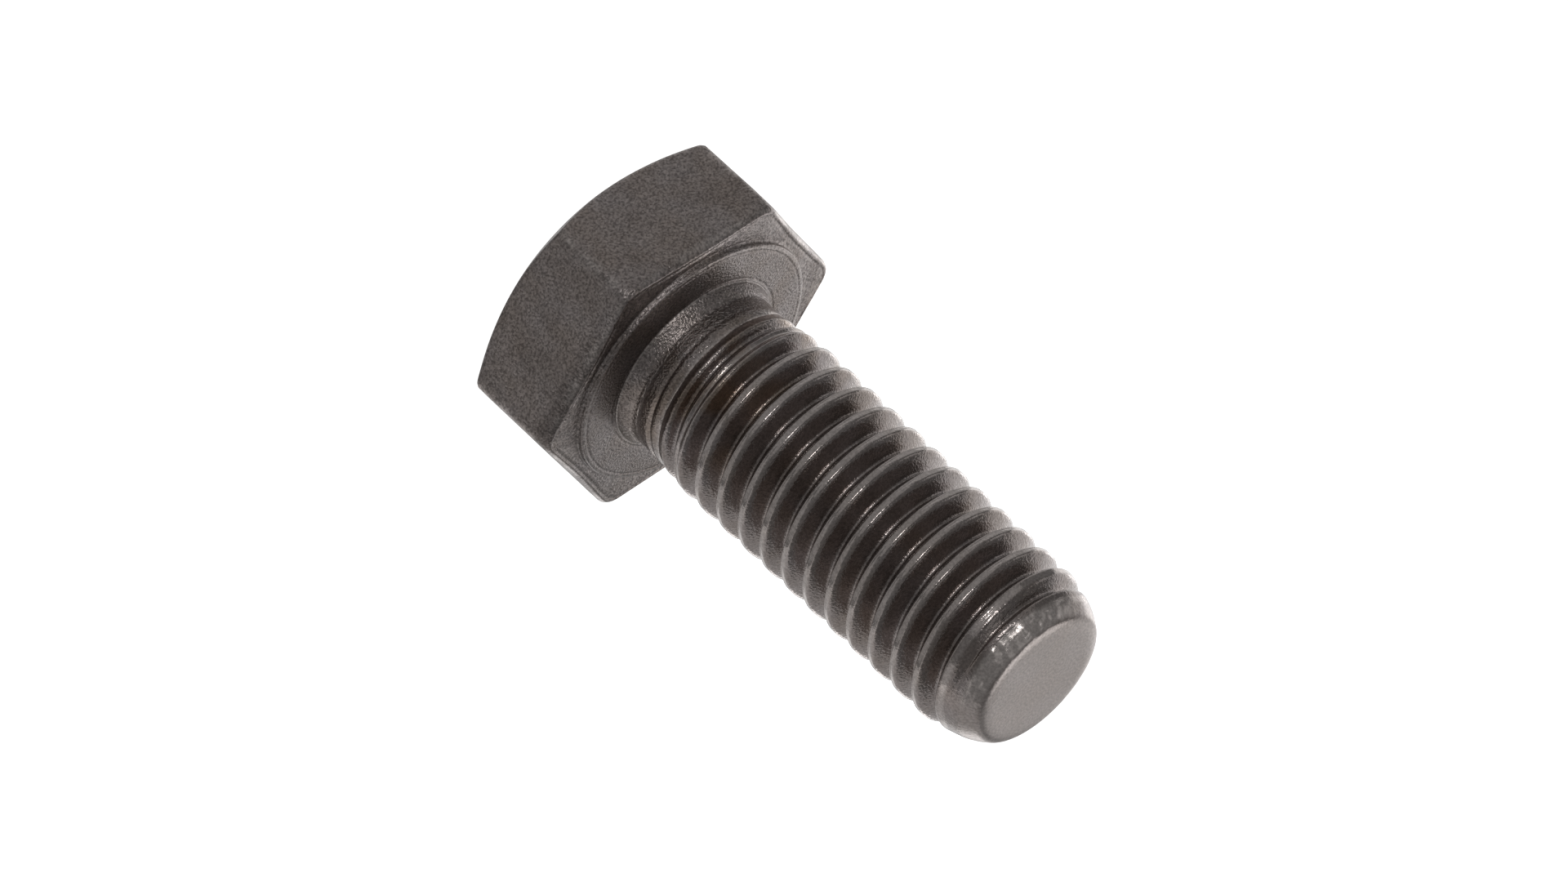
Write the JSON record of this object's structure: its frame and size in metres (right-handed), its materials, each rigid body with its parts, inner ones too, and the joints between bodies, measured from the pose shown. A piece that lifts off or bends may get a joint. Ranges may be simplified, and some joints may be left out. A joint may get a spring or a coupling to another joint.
{
  "type": "hex bolt",
  "caption": "Black hexagon-head bolt with a raised washer face, a filleted neck, a coarse right-hand thread up to the head and a rounded flat point.",
  "frame": {"origin": "centre of the bearing face under the head", "axes": "+Z along the bolt from the head towards its point; the hexagon has corners on +Y and -Y and flats facing +X and -X"},
  "size_m": [0.0128, 0.0148, 0.0252],
  "materials": {
    "black_oxide_steel": "black oxide over rolled and forged steel, satin, with fine grain and lighter worn edges"
  },
  "bodies": {
    "root": {"hex_bolt": "black_oxide_steel"}
  },
  "joints": []
}
